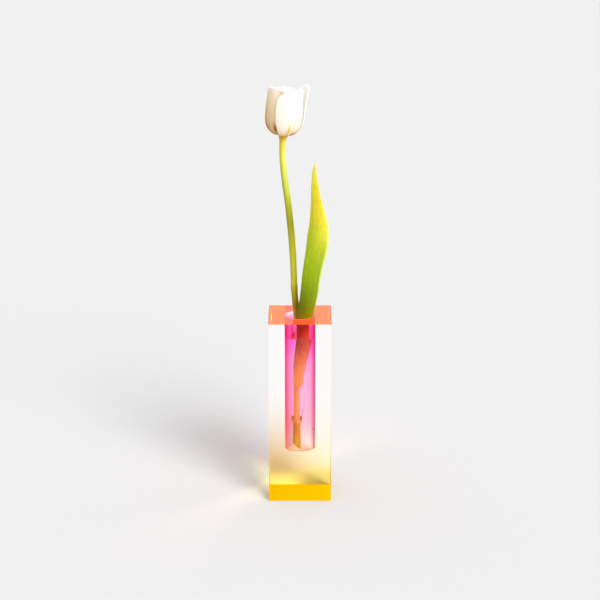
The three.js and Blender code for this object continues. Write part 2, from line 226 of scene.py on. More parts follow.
# name, whorl, middle (degrees from +X), belly, flare, length, width, bluntness, seed of its waves
PETALS = [
    ("petal_outer_front", OUTER_PETAL, -86, 0.2, -0.2, 0.88, 0.92, 1.4, 3),
    ("petal_outer_right", OUTER_PETAL, 31, -0.3, 4.0, 0.96, 1.0, 0.8, 5),
    ("petal_outer_left", OUTER_PETAL, 150, 0.2, -0.6, 0.885, 1.0, 3.0, 8),
    ("petal_inner_right", INNER_PETAL, -23, 0.4, 0.0, 0.9, 1.0, 5.0, 11),
    ("petal_inner_back", INNER_PETAL, 97, -0.5, 0.2, 0.86, 1.12, 4.5, 14),
    ("petal_inner_left", INNER_PETAL, 218, 0.6, 0.3, 0.91, 1.03, 8.0, 17),
]

# ---- The camera: a long lens, looking down on the front face ----
CAMERA_PLACE = (0, -1.5936, 0.6978)
CAMERA_PITCH = math.radians(17.52)
CAMERA_LENS = 105.24
CAMERA_SENSOR = 36

# ---- The studio ----
FLOOR_SIZE = 200
FLOOR_DROP = 0.05 * MM  # so that the floor and the vase's underside don't share a plane
FLOOR_GREY = "#C8C8C8"
KEY_AZIMUTH, KEY_ELEVATION = math.radians(-58), math.radians(34)
KEY_STRENGTH = 16.8
KEY_SPAN = (0.93, 0.997)  # cosines of the angles at which the key light starts and is full
FILL_BACK, FILL_FRONT = 0.97, 0.66  # the even light is weaker in front of the vase
FILL_SPAN = (-0.2, 0.6)  # cosines of the angles at which it starts to weaken and is weakest
LIGHT_MAP = 512  # how finely the light's directions are told apart


# ---- Small tools ----
def linear(code):
    """An sRGB hex colour as a linear one with alpha."""
    channels = [int(code[i : i + 2], 16) / 255 for i in (1, 3, 5)]
    return [c / 12.92 if c <= 0.04045 else ((c + 0.055) / 1.055) ** 2.4 for c in channels] + [1]


def keyed(rows):
    """A smooth curve through rows of numbers, to be read at any place. The place is a row's first number."""
    table = np.array(rows, float)
    places, values = table[:, 0], table[:, 1:]
    slopes = np.gradient(values, places, axis=0)

    def read(place):
        place = min(max(place, places[0]), places[-1])
        i = min(int(np.searchsorted(places, place, side="right")) - 1, len(places) - 2)
        step = places[i + 1] - places[i]
        t = (place - places[i]) / step
        return (
            (1 + 2 * t) * (1 - t) ** 2 * values[i]
            + t * (1 - t) ** 2 * step * slopes[i]
            + t * t * (3 - 2 * t) * values[i + 1]
            + t * t * (t - 1) * step * slopes[i + 1]
        )

    return read


def select_only(piece):
    """Selects one piece and nothing else, or nothing at all."""
    if bpy.context.object and bpy.context.object.mode != "OBJECT":
        bpy.ops.object.mode_set(mode="OBJECT")
    bpy.ops.object.select_all(action="DESELECT")
    if piece:
        piece.select_set(True)
        bpy.context.view_layer.objects.active = piece


def begin(primitive, name, **settings):
    """Adds one primitive with nothing else selected, names it and puts its place in its mesh."""
    select_only(None)
    primitive(**settings)
    piece = bpy.context.object
    piece.name = piece.data.name = name
    bpy.ops.object.transform_apply(location=True, rotation=True, scale=True)
    return piece


def modify(piece, kind, **settings):
    """Gives a piece a modifier and applies it."""
    modifier = piece.modifiers.new(kind.title(), kind)
    for key, value in settings.items():
        setattr(modifier, key, value)
    select_only(piece)
    bpy.ops.object.modifier_apply(modifier=modifier.name)


def edit(piece, faces=None, edges=None):
    """Opens a piece in edit mode with only the faces, or only the edges, that pass the test selected."""
    select_only(piece)
    mesh = piece.data
    mesh.polygons.foreach_set("select", [False] * len(mesh.polygons))
    mesh.edges.foreach_set("select", [False] * len(mesh.edges))
    mesh.vertices.foreach_set("select", [False] * len(mesh.vertices))
    if faces:
        for face in mesh.polygons:
            face.select = faces(face)
    if edges:
        for edge in mesh.edges:
            edge.select = all(edges(mesh.vertices[v].co) for v in edge.vertices)
    bpy.ops.object.mode_set(mode="EDIT")
    bpy.context.tool_settings.mesh_select_mode = (False, bool(edges), bool(faces))


def cut(piece, tool):
    """Cuts the tool's form out of the piece and takes the tool away."""
    modify(piece, "BOOLEAN", operation="DIFFERENCE", object=tool, solver="EXACT")
    bpy.data.objects.remove(tool)


def outward(piece):
    """Turns every face of a piece outwards."""
    edit(piece, faces=lambda face: True)
    bpy.ops.mesh.normals_make_consistent(inside=False)
    bpy.ops.object.mode_set(mode="OBJECT")


def dress(piece, materials, pick=lambda face: 0):
    """Gives a piece its materials, with pick choosing one for each face."""
    piece.data.materials.clear()
    for material in materials:
        piece.data.materials.append(material)
    for face in piece.data.polygons:
        face.material_index = pick(face)


def place(piece, slot, *nodes):
    """Makes a finished piece stand for its CAD nodes."""
    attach(piece, "root")
    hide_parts(*nodes)
    return piece


def blank(name):
    """A new material without nodes."""
    material = bpy.data.materials.new(name)
    material.use_nodes = True
    material.node_tree.nodes.clear()
    return material


def add(material, kind, inputs=(), output=None, stops=(), **settings):
    """Adds a node to a material or world, and gives its first open output or the one that is named.
    Inputs are values and other nodes' outputs, by name or in the order of the node's open sockets.
    Stops are a colour ramp's places and sRGB hex colours."""
    tree = material.node_tree
    node = tree.nodes.new("ShaderNode" + kind)
    for key, value in settings.items():
        setattr(node, key, value)
    if isinstance(inputs, dict):
        pairs = [(node.inputs[name], value) for name, value in inputs.items()]
    else:
        pairs = list(zip([socket for socket in node.inputs if socket.enabled], inputs))
    for socket, value in pairs:
        if isinstance(value, bpy.types.NodeSocket):
            tree.links.new(value, socket)
        else:
            socket.default_value = value
    if stops:
        elements = node.color_ramp.elements
        elements.remove(elements[-1])
        elements[0].position, elements[0].color = stops[0][0], linear(stops[0][1])
        for position, code in stops[1:]:
            elements.new(position).color = linear(code)
    return next((socket for socket in node.outputs if socket.enabled and output in (None, socket.name)), None)


# Settings of nodes that come up often
SMOOTH = {"interpolation_type": "SMOOTHSTEP"}
COLOURS = {"data_type": "RGBA"}
TIMES_COLOUR = {"data_type": "RGBA", "blend_type": "MULTIPLY"}
TIMES = {"operation": "MULTIPLY"}


# ---- Materials of the vase and the water ----
# Gains of red, green and blue. Most are above 1, so they are no hex colours.
CLARITY = [1.055, 1.045, 1.04, 1]  # the block shows what is behind it a little brighter than it is
PAINTED_FOOT_LIGHT = [1.16, 1.12, 1.12, 1]  # painted light: a gain on light that crosses the block's foot, which brightens the floor and stem beside it
STRAY_TINT = [1.045, 0.925, 0.945, 1]  # painted: a pink tint on light that crosses the block to floor or stem, added to the blush the bore gives the block's shadow
STRAY_MIRROR = "#CECBCB"  # painted shade: only this share of the light mirrored inside the block reaches floor or stem, which deepens the block's shadow and dims the light it throws on the floor
WHITE = linear("#FFFFFF")
ACRYLIC_INDEX = 1.491
WATER_INDEX = 1.333
FAINTEST = 0.055  # a weaker head-on reflection is left out, so that deep colours behind a face stay deep
LEAST_COSINE = 0.3  # a thin round film can't be crossed at a flatter angle than this
RAMP_TOP = 200  # millimetres to one unit of a ramp by height
# Where the tints of the vase change: from one height or place across, to another
# Heights between which the painted light by the foot comes in, from none to full
PAINTED_FOOT_LIGHT_SPAN = (50 * MM, 15 * MM)
WET_DEEPENS = (152 * MM, 112 * MM)
WET_LEFT = (-5 * MM, -13 * MM)
WET_EDGE = (12.4 * MM, BORE_RADIUS)
# From the first height to the second, the dry dye pales into a painted highlight
DRY_HIGHLIGHT_HEIGHTS = (173 * MM, 178 * MM)
DRY_EDGE = (12.6 * MM, BORE_RADIUS)
# The dyes: what white light becomes in one pass through a face of their film
WET_LEFT_HIGH, WET_LEFT_LOW, WET_AT_EDGE = "#FFFAF9", "#FFF4F7", "#FAEFF1"
# The second colour of the dry dye is a painted highlight at the rim of the mouth
DRY_DYE, DRY_RIM_HIGHLIGHT, DRY_AT_EDGE = "#FECBE7", "#FFF3FA", "#F8CBDD"
GOLD_LEFT, GOLD_RIGHT = "#FFF3BC", "#FFFABF"
CORAL_DYE = "#FFEBD0"
# Painted warm yellow light in the block, fading out up it from the foot: [height in mm, colour of one pass
# through a side face]
FADE_LEFT = [
    (13, "#FFFFC6"),
    (20, "#FDEFC2"),
    (28, "#FDECC3"),
    (59, "#FEF5E8"),
    (75, "#FEFBF3"),
    (98, "#FFFFFF"),
]
FADE_RIGHT = [
    (13, "#FFEE98"),
    (20, "#FFF5CC"),
    (28, "#FFFADE"),
    (44, "#FFFEEF"),
    (59, "#FFFEF8"),
    (98, "#FFFFFF"),
]
# The bore's dye is deepest at the water's edge: [height in mm, colour of one pass through a face of the film]
PINK_WET_FADE = [
    (56, "#FEFBFD"),
    (65, "#FEF4F9"),
    (80, "#FEEFF7"),
    (125, "#FEEAF7"),
    (138, "#FEE6F7"),
    (150, "#FEDBF6"),
    (161, "#FED2F4"),
]


def axis_value(material, axis):
    """A place's X, Y or Z, in metres."""
    return add(material, "SeparateXYZ", [add(material, "TexCoord", output="Object")], axis)


def by_height(material, table):
    """A colour that changes with height."""
    height = add(material, "MapRange", [axis_value(material, "Z"), 0, RAMP_TOP * MM])
    return add(material, "ValToRGB", [height], stops=[(z / RAMP_TOP, code) for z, code in table])


def stray(material, straight, scattered):
    """One colour for light on its way straight to the eye, another for light that falls on floor or stem."""
    share = add(material, "MapRange", [add(material, "LightPath", output="Diffuse Depth"), 0.0, 1.0])
    return add(material, "Mix", [share, straight, scattered], **COLOURS)


def optical(name, index, colour, faintest=FAINTEST):
    """A polished clear face between two materials whose refractive indices have this ratio."""
    material = blank(name)
    bend = add(material, "BsdfRefraction", [colour(material), 0.0, index])
    mirror = add(material, "BsdfGlossy", [stray(material, WHITE, linear(STRAY_MIRROR)), 0.0])
    share = add(material, "MapRange", [add(material, "Fresnel", [index]), faintest, 1.0])
    add(material, "OutputMaterial", [add(material, "MixShader", [share, bend, mirror])])
    return material


def clear(material):
    """No tint at all."""
    return WHITE


def faded(material):
    """The block's tint: clear above, with painted warm yellow light towards the foot, more orange on the
    left. Light that falls on floor or stem gets painted light by the foot and a painted pink tint instead.
    """
    left = by_height(material, FADE_LEFT)
    right = by_height(material, FADE_RIGHT)
    side = add(material, "MapRange", [axis_value(material, "X"), *LEFT_TO_RIGHT], **SMOOTH)
    fade = add(material, "Mix", [side, left, right], **COLOURS)
    foot = add(material, "MapRange", [axis_value(material, "Z"), *PAINTED_FOOT_LIGHT_SPAN])
    painted_floor_light = add(material, "Mix", [foot, STRAY_TINT, PAINTED_FOOT_LIGHT], **COLOURS)
    return add(material, "Mix", [1.0, fade, stray(material, CLARITY, painted_floor_light)], **TIMES_COLOUR)


def wet_pink(material):
    """The dye under water. It is deeper on the left side, more so low down, and at the right edge."""
    x = axis_value(material, "X")
    low = add(material, "MapRange", [axis_value(material, "Z"), *WET_DEEPENS], **SMOOTH)
    left_tint = add(material, "Mix", [low, linear(WET_LEFT_HIGH), linear(WET_LEFT_LOW)], **COLOURS)
    tint = add(material, "Mix", [add(material, "MapRange", [x, *WET_LEFT]), WHITE, left_tint], **COLOURS)
    edge = add(material, "MapRange", [x, *WET_EDGE])
    tint = add(material, "Mix", [edge, tint, linear(WET_AT_EDGE)], **COLOURS)
    return add(material, "Mix", [1.0, by_height(material, PINK_WET_FADE), tint], **TIMES_COLOUR)


def dry_pink(material):
    """The dye above the water. It pales towards the rim into a painted highlight of the mouth's inner wall,
    and is darkest at its right edge.
    """
    rim = add(material, "MapRange", [axis_value(material, "Z"), *DRY_HIGHLIGHT_HEIGHTS], **SMOOTH)
    dye = add(material, "Mix", [rim, linear(DRY_DYE), linear(DRY_RIM_HIGHLIGHT)], **COLOURS)
    edge = add(material, "MapRange", [axis_value(material, "X"), *DRY_EDGE])
    return add(material, "Mix", [edge, dye, linear(DRY_AT_EDGE)], **COLOURS)


def golden(material):
    """The dye of the foot: deeper on the left."""
    side = add(material, "MapRange", [axis_value(material, "X"), *LEFT_TO_RIGHT])
    return add(material, "Mix", [side, linear(GOLD_LEFT), linear(GOLD_RIGHT)], **COLOURS)


def coral(material):
    """The dye of the top: even all over."""
    return linear(CORAL_DYE)


def film(name, dye, glow=None):
    """A transparent dye film. dye gives its colour for light that meets one of its two faces head-on.
    A slanting pass runs further in the dye and loses more to it.
    glow is painted light: a faint emission that brightens the film whatever light falls on it."""
    material = blank(name)
    slant = add(material, "LayerWeight", {"Blend": 0.5}, "Facing")
    cosine = add(material, "MapRange", [slant, 0.0, 1.0, 1.0, LEAST_COSINE])
    path = add(material, "Math", [1.0, cosine], operation="DIVIDE")
    surface = add(material, "BsdfTransparent", [add(material, "Gamma", [dye(material), path])])
    if glow:
        surface = add(material, "AddShader", [surface, add(material, "Emission", [linear(glow), 1.0])])
    add(material, "OutputMaterial", [surface])
    return material


# Glass-clear, with painted warm light towards its golden foot
CLEAR = optical("cast acrylic, flame-polished", ACRYLIC_INDEX, faded)
# Mirror-bright at its edges
DRY_BORE = optical("cast acrylic, polished bore", ACRYLIC_INDEX, clear)
# Nearly unseen
WET_BORE = optical("cast acrylic, bore under water", ACRYLIC_INDEX / WATER_INDEX, clear, faintest=0.01)
# A calm round mirror
WATER_TOP = optical("still water, surface", WATER_INDEX, clear, faintest=0.02)
# Unseen, as the wall's own bend takes over
WATER_BODY = film("still water, against the wall", clear)
# A warm orange-pink pane, brightened by a painted glow
CORAL = film("coral dye in acrylic, painted glow", coral, glow="#8E4529")
# Hot pink above the water, with a painted highlight towards the rim and a faint painted glow
PINK_DRY = film("magenta dye film in acrylic, dry", dry_pink, glow="#1D0007")
# Candy pink, paler with depth, with a faint painted glow
PINK_WET = film("magenta dye film in acrylic, wetted", wet_pink, glow="#350D16")
# A saturated golden foot, with a faint painted glow
YELLOW = film("sun-yellow dye layer in acrylic", golden, glow="#3F2C00")


# ---- The vase and the water ----
def square_bar(name, side, low, high, edge):
    """An upright square bar with softly rounded edges."""
    bar = begin(
        bpy.ops.mesh.primitive_cube_add,
        name,
        size=1,
        location=(0, 0, (low + high) / 2),
        scale=(side, side, high - low),
    )
    edit(bar, edges=lambda co: True)
    bpy.ops.mesh.bevel(offset=edge, segments=EDGE_STEPS, affect="EDGES")
    bpy.ops.object.mode_set(mode="OBJECT")
    return bar


def bore_form(name, radius, low, high, waterline=None):
    """The round form of the bore: its bottom corner is rounded, and a ring of edges marks the waterline."""
    form = begin(
        bpy.ops.mesh.primitive_cylinder_add,
        name,
        vertices=ROUND_SIDES,
        radius=radius,
        depth=high - low,
        location=(0, 0, (low + high) / 2),
    )
    edit(form, edges=lambda co: co.z < low + A_HAIR)
    bpy.ops.mesh.bevel(offset=BORE_ROUND, segments=ROUND_STEPS, affect="EDGES")
    if waterline:
        bpy.ops.mesh.select_all(action="SELECT")
        bpy.ops.mesh.bisect(plane_co=(0, 0, waterline), plane_no=(0, 0, 1))
    bpy.ops.object.mode_set(mode="OBJECT")
    return form


def in_bore(face):
    """Whether a face belongs to the bore's wall or floor."""
    inside = math.hypot(face.center.x, face.center.y) < BORE_RADIUS + FILM_DEPTH
    return inside and face.center.z < VASE_HEIGHT - EDGE_ROUND


def wet(face):
    """Whether a face lies under the water's level."""
    return face.center.z < WATER_LEVEL


def bore_look(face):
    """0 on the outside of the block, 1 in the dry bore and 2 in the bore under water."""
    if not in_bore(face):
        return 0
    return 2 if wet(face) else 1


def smooth_round(piece, is_round):
    """Shades the round faces smooth and leaves the flat ones flat, with a crisp edge between them."""
    select_only(piece)
    bpy.ops.object.shade_smooth_by_angle(angle=CRISP)
    for face in piece.data.polygons:
        face.use_smooth = is_round(face)


def make_block():
    """The clear block with its blind bore."""
    block = square_bar("acrylic_block", VASE_SIDE, 0, VASE_HEIGHT, EDGE_ROUND)
    cut(block, bore_form("bore_tool", BORE_RADIUS, BORE_FLOOR, PAST_TOP, WATER_LEVEL))
    smooth_round(block, in_bore)
    dress(block, [CLEAR, DRY_BORE, WET_BORE], bore_look)
    return place(block, "clear_acrylic", "vase_block")


def make_coral_film():
    """The colour under the vase's top face."""
    high = VASE_HEIGHT - FILM_DEPTH
    side = VASE_SIDE - 2 * EDGE_ROUND
    pane = square_bar("coral_film", side, high - CORAL_FILM, high, CORAL_FILM / 4)
    cut(pane, bore_form("mouth_tool", BORE_RADIUS + FILM_DEPTH, BELOW_TOP, PAST_TOP))
    dress(pane, [CORAL])
    return place(pane, "coral_acrylic", "vase_top_layer")


def make_pink_film():
    """The colour behind the bore's wall and floor: a thin cup in the acrylic."""
    inner, floor = BORE_RADIUS + FILM_DEPTH, BORE_FLOOR - FILM_DEPTH
    high = VASE_HEIGHT - FILM_DEPTH - CORAL_FILM
    cup = bore_form("pink_film", inner + PINK_FILM, floor - PINK_FILM, high, WATER_LEVEL)
    cut(cup, bore_form("cup_tool", inner, floor, PAST_TOP, WATER_LEVEL))
    smooth_round(cup, lambda face: abs(face.normal.z) < LEVEL)
    dress(cup, [PINK_DRY, PINK_WET], wet)
    return place(cup, "pink_acrylic", "vase_bore_lining")


def make_yellow_layer():
    """The colour in the foot of the vase."""
    layer = square_bar("yellow_layer", VASE_SIDE - 2 * FILM_DEPTH, FILM_DEPTH, YELLOW_LAYER, YELLOW_EDGE)
    dress(layer, [YELLOW])
    return place(layer, "yellow_acrylic", "vase_base_layer")


def make_water():
    """The water up to its level, drawn up a little at the wall."""
    radius = BORE_RADIUS - WATER_GAP
    water = bore_form("water_body", radius, BORE_FLOOR + WATER_GAP, WATER_LEVEL + MENISCUS)
    for inset, drop in MENISCUS_STEPS:
        edit(water, faces=lambda face: face.normal.z > SURFACE and not wet(face))
        bpy.ops.mesh.inset(thickness=inset * MM)
        bpy.ops.transform.translate(value=(0, 0, -drop * MENISCUS))
        bpy.ops.object.mode_set(mode="OBJECT")
    smooth_round(water, lambda face: True)
    dress(water, [WATER_TOP, WATER_BODY], lambda face: face.normal.z < LEAST_UP)
    return place(water, "water", "water")


make_block()
make_coral_film()
make_pink_film()
make_yellow_layer()
make_water()


# ---- Materials of the flower ----
SKIN_GLOSS = 0.2  # a thin dull wax
RELIEF = 0.6
STREAK_ROUGHNESS = 0.55
# Nearly all of a noise lies between the first two values, and most of it between the second two.
NOISE_SPAN = (0.3, 0.7)
NOISE_CORE = (0.35, 0.65)
# What one unit of a UV map measures across and along, in millimetres
LEAF_UNIT = (30, LEAF_HIGH - LEAF_LOW)
PETAL_UNIT = (26, 50)
# How dark and how bright the streaks make a colour
LEAF_FINE = (0.8, 1.16)
LEAF_PATCHES = (0.9, 1.09)
STEM_GRAIN = (0.88, 1.1)
PETAL_GRAIN = (0.95, 1.03)


def plant(name, colour, roughness, relief=None, depth=0.0, through=0.0):
    """Fresh plant tissue: a waxy skin with a relief this deep, over a body that lets some light through."""
    material = blank(name)
    tint = colour(material)
    inputs = {"Base Color": tint, "Roughness": roughness, "Specular IOR Level": SKIN_GLOSS}
    if relief:
        height = relief(material)
        inputs["Normal"] = add(material, "Bump", {"Height": height, "Distance": depth, "Strength": RELIEF})
    surface = add(material, "BsdfPrincipled", inputs)
    if through:
        light = add(material, "BsdfTranslucent", [tint])
        surface = add(material, "MixShader", [through, surface, light])
    add(material, "OutputMaterial", [surface])
    return material


def uv_values(material):
    """The place across and the place along a piece's UV map."""
    across = add(material, "SeparateXYZ", [add(material, "TexCoord", output="UV")], "X")
    return across, across.node.outputs["Y"]


def streaks(material, width, length, unit=None, detail=3.0):
    """Noise in streaks of this width and length, in millimetres.
    They run along the UV map where its unit is given, and up the piece where it isn't."""
    if unit:
        source, scale = "UV", (unit[0] / width, unit[1] / length, 1)
    else:
        source, scale = "Object", (1 / (width * MM), 1 / (width * MM), 1 / (length * MM))
    where = add(material, "Mapping", {"Vector": add(material, "TexCoord", output=source), "Scale": scale})
    return add(material, "TexNoise", [where, 1.0, detail, STREAK_ROUGHNESS])


def band(material, value, middle, half):
    """1 at the middle of a band, fading to 0 at half its width."""
    off = add(material, "Math", [value, middle], operation="SUBTRACT")
    off = add(material, "Math", [off], operation="ABSOLUTE")
    return add(material, "MapRange", [off, half, 0.0], **SMOOTH)


LEAF_VEINS = 26  # across the blade: veins about 1 mm apart
LEAF_TURNS = (0.1, 0.85)  # across the blade, its left colours give way to its right ones
# The painted rim light on the right edge starts at the first place across up to the first height, and at the
# second place from the second height. It is full from the last place across.
RIM_HEIGHTS = (0.3, 0.42)
RIM_STARTS = (0.7, 0.84)
RIM_FULL = 0.96

# Colours by place along the leaf. Under water and close over it the blade is pale, with little green. From
# the waterline up past the mouth it is darker, the left side most, and the left side is darker than the right
# all along: painted shade.
LEAF_LEFT = [
    (0.06, "#FFEC74"),
    (0.2, "#C0BC42"),
    (0.226, "#C0BC42"),
    (0.24, "#BE9824"),
    (0.3, "#917002"),
    (0.36, "#6B7102"),
    (0.42, "#778B02"),
    (0.51, "#97B002"),
    (0.69, "#B5C31E"),
    (0.77, "#D1C826"),
    (0.9, "#DEDB30"),
    (1.0, "#E6DA50"),
]
LEAF_RIGHT = [
    (0.06, "#FFEE80"),
    (0.2, "#D8D05A"),
    (0.226, "#D8D05A"),
    (0.24, "#D8A82A"),
    (0.27, "#B89022"),
    (0.33, "#9E9C02"),
    (0.42, "#88A207"),
    (0.51, "#98B111"),
    (0.6, "#B3C22B"),
    (0.69, "#DDDA3B"),
    (0.84, "#F1D232"),
    (0.91, "#EADA3B"),
    (1.0, "#FFF37C"),
]
# Colours of the painted rim light on the right edge, by place along the leaf
LEAF_RIM_LIGHT = [
    (0.2, "#E8DC60"),
    (0.24, "#FFD040"),
    (0.3, "#E8C020"),
    (0.33, "#EEE10A"),
    (0.42, "#D7ED50"),
    (0.6, "#E8F766"),
    (0.69, "#F9F789"),
    (0.8, "#F9ED59"),
]


def leaf_colour(material):
    """Two sides of the blade, the left in painted shade, and painted rim light on its right edge, with fine
    streaks and soft patches.
    """
    u, v = uv_values(material)
    left = add(material, "ValToRGB", [v], stops=LEAF_LEFT)
    right = add(material, "ValToRGB", [v], stops=LEAF_RIGHT)
    edge = add(material, "ValToRGB", [v], stops=LEAF_RIM_LIGHT)
    across = add(material, "MapRange", [u, *LEAF_TURNS], **SMOOTH)
    body = add(material, "Mix", [across, left, right], **COLOURS)
    rim_start = add(material, "MapRange", [v, *RIM_HEIGHTS, *RIM_STARTS])
    rim = add(material, "MapRange", [u, rim_start, RIM_FULL], **SMOOTH)
    edged = add(material, "Mix", [rim, body, edge], **COLOURS)
    fine = streaks(material, width=0.5, length=72, unit=LEAF_UNIT)
    fine = add(material, "MapRange", [fine, *NOISE_SPAN, *LEAF_FINE])
    patches = streaks(material, width=1.9, length=6.4, unit=LEAF_UNIT)
    patches = add(material, "MapRange", [patches, *NOISE_CORE, *LEAF_PATCHES])
    shade = add(material, "Math", [fine, patches], **TIMES)
    return add(material, "Mix", [1.0, edged, shade], **TIMES_COLOUR)


def leaf_veins(material):
    """Parallel ribs along the blade."""
    u, _ = uv_values(material)
    waves = add(material, "Math", [u, 2 * math.pi * LEAF_VEINS], **TIMES)
    return add(material, "Math", [waves], operation="SINE")


# Colours of the stem by height in mm. Both sides are alike under water and in the bore, which is darker above
# the water: painted shade. Above the bore the right side is darker low down and lighter high up: painted
# shade and painted light.
STEM_LOW = [
    (76, "#C9AC30"),
    (78, "#E0B850"),
    (84, "#EDC662"),
    (110, "#EDC662"),
    (125, "#FAD868"),
    (150, "#E2CC58"),
    (162, "#E2CC58"),
    (165, "#CAA226"),
]
STEM_LEFT = STEM_LOW + [
    (176, "#B8922A"),
    (184, "#C0A030"),
    (190, "#A5870A"),
    (204, "#AA9912"),
    (213, "#BBAE30"),
    (249, "#A6A11C"),
    (272, "#958B10"),
    (308, "#A6AD25"),
    (333, "#C0BC31"),
    (350, "#C7B037"),
]
STEM_RIGHT = STEM_LOW + [
    (176, "#B89528"),
    (184, "#A08A18"),
    (196, "#958805"),
    (204, "#969305"),
    (213, "#ADA71A"),
    (249, "#92930D"),
    (272, "#757A06"),
    (284, "#888E0F"),
    (296, "#A0A92C"),
    (308, "#B7BF55"),
    (333, "#CECC5E"),
    (350, "#D9C048"),
]
STEM_REACH = 360  # millimetres to one unit of the stem's UV map
STEM_TURNS = (0.15, 0.85)  # across the stem, its left colours give way to its right ones


def stem_colour(material):
    """Two sides of the stem, shaded and lit by painted light, with soft streaks."""
    u, v = uv_values(material)
    across = add(material, "MapRange", [u, *STEM_TURNS], **SMOOTH)
    sides = []
    for table in (STEM_LEFT, STEM_RIGHT):
        stops = [(z / STEM_REACH, code) for z, code in table]
        sides.append(add(material, "ValToRGB", [v], stops=stops))
    along = add(material, "Mix", [across, *sides], **COLOURS)
    grain = streaks(material, width=1.11, length=33.3)
    grain = add(material, "MapRange", [grain, *NOISE_SPAN, *STEM_GRAIN])
    return add(material, "Mix", [1.0, along, grain], **TIMES_COLOUR)


# Colours by place along a petal: yellow at the foot, and tan all over with straw streaks, partly from age and
# partly painted shade
PETAL_WHITE = [
    (0.0, "#C87408"),
    (0.07, "#DC9420"),
    (0.12, "#F4CA68"),
    (0.2, "#FCF1D4"),
    (0.36, "#FCFAF4"),
    (1.0, "#FDFCFA"),
]
PETAL_TAN = [(0.0, "#E09020"), (0.1, "#EDB860"), (0.3, "#ECBE6E"), (0.6, "#F3D9A2"), (1.0, "#FAF3EA")]
STRAW = "#E8D68C"
STRAW_SPAN = (0.52, 0.66)  # only the peaks of its noise
LEAST_AGED = 0.25  # the share of the flush between its streaks


def petal_colour(material, flush, marks):
    """White, yellow at the foot. flush is how far its streaks turn tan.
    A mark is a colour, its strength, and its middle and half size across and along the petal."""
    u, v = uv_values(material)
    white = add(material, "ValToRGB", [v], stops=PETAL_WHITE)
    tan = add(material, "ValToRGB", [v], stops=PETAL_TAN)
    straw = streaks(material, width=0.765, length=45.5, unit=PETAL_UNIT, detail=1.0)
    straw = add(material, "MapRange", [straw, *STRAW_SPAN])
    tan = add(material, "Mix", [straw, tan, linear(STRAW)], **COLOURS)
    grain = streaks(material, width=1.0, length=35.7, unit=PETAL_UNIT)
    aged = add(material, "MapRange", [grain, *NOISE_CORE, LEAST_AGED * flush, flush])
    colour = add(material, "Mix", [aged, white, tan], **COLOURS)
    for code, strength, across, along in marks:
        spot = add(material, "Math", [strength, band(material, u, *across)], **TIMES)
        spot = add(material, "Math", [spot, band(material, v, *along)], **TIMES)
        colour = add(material, "Mix", [spot, colour, linear(code)], **COLOURS)
    shade = add(material, "MapRange", [grain, *NOISE_SPAN, *PETAL_GRAIN])
    return add(material, "Mix", [1.0, colour, shade], **TIMES_COLOUR)


def petal_veins(material):
    """Faint lengthwise veins."""
    return streaks(material, width=0.65, length=41.7, unit=PETAL_UNIT)


def petal_skin(name, flush, *marks):
    """The petals' material, more or less flushed, with marks of its own."""

    def colour(material):
        return petal_colour(material, flush, marks)

    return plant(name, colour, roughness=0.55, relief=petal_veins, depth=0.25 * MM, through=0.55)


def grained(low, high, width, length):
    """Two close colours in streaks up the piece, of this width and length in millimetres."""

    def colour(material):
        share = add(material, "MapRange", [streaks(material, width, length), *NOISE_CORE])
        return add(material, "Mix", [share, linear(low), linear(high)], **COLOURS)

    return colour


# A satin blade with fine ribs, bright where light comes through
LEAF = plant(
    "tulip leaf, waxy", leaf_colour, roughness=0.42, relief=leaf_veins, depth=0.15 * MM, through=0.3
)
# Soft lengthwise streaks under a waxy skin
STEM = plant("tulip stem, smooth", stem_colour, roughness=0.45)

# Marks: colour, strength, middle and half size across, middle and half size along
LIME_RIB = ("#E4D62C", 0.95, (0.73, 0.13), (0.28, 0.25))
LIME_EDGE = ("#E2D850", 0.85, (0.975, 0.05), (0.34, 0.36))
# Painted shade in the crevice between the left and the front petals
CREVICE_SHADE = ("#C07C1C", 1.0, (0.74, 0.13), (0.27, 0.17))
# Painted shade at the top corner of the left petals, where the inside of the bloom lies in shade
SHADED_CORNER = ("#C0A050", 0.6, (0.88, 0.2), (0.9, 0.16))
# White silk with faint lengthwise veins
PETAL = petal_skin("tulip petal, satin white", 0.0)
# The same, green low on its rib and at one edge
PETAL_RIBBED = petal_skin("tulip petal, white with lime marks", 0.08, LIME_RIB, LIME_EDGE)
# Tan streaks, partly from age and partly painted shade on the shaded left of the bloom, with a painted
# crevice shade and a painted shaded corner
PETAL_TAN_SHADED = petal_skin("tulip petal, cream with painted shade", 0.95, CREVICE_SHADE, SHADED_CORNER)
PETAL_LOOKS = {
    "petal_outer_front": PETAL_RIBBED,
    "petal_outer_left": PETAL_TAN_SHADED,
    "petal_inner_left": PETAL_TAN_SHADED,
}
# A waxy three-sided column
GREENISH = grained("#B9C266", "#DDE0A0", width=2, length=16.7)
PISTIL = plant("tulip pistil, pale green", GREENISH, roughness=0.5)
# Powdery with pollen, in grains drawn far coarser than real ones so that they show
POLLEN = grained("#CFA52E", "#F0D468", width=0.667, length=0.667)
STAMEN = plant("tulip stamens, dusty yellow", POLLEN, roughness=0.9)
# The stem's own colour, with frayed fibres
FIBROUS = grained("#CBA645", "#EBCB6E", width=0.833, length=16.7)
TORN = plant("torn leaf base, fibrous", FIBROUS, roughness=0.6)
# Thin brown threads
BROWN = grained("#9A5A24", "#C08838", width=1.11, length=11.1)
FIBRE = plant("torn plant fibre, dry", BROWN, roughness=0.7)


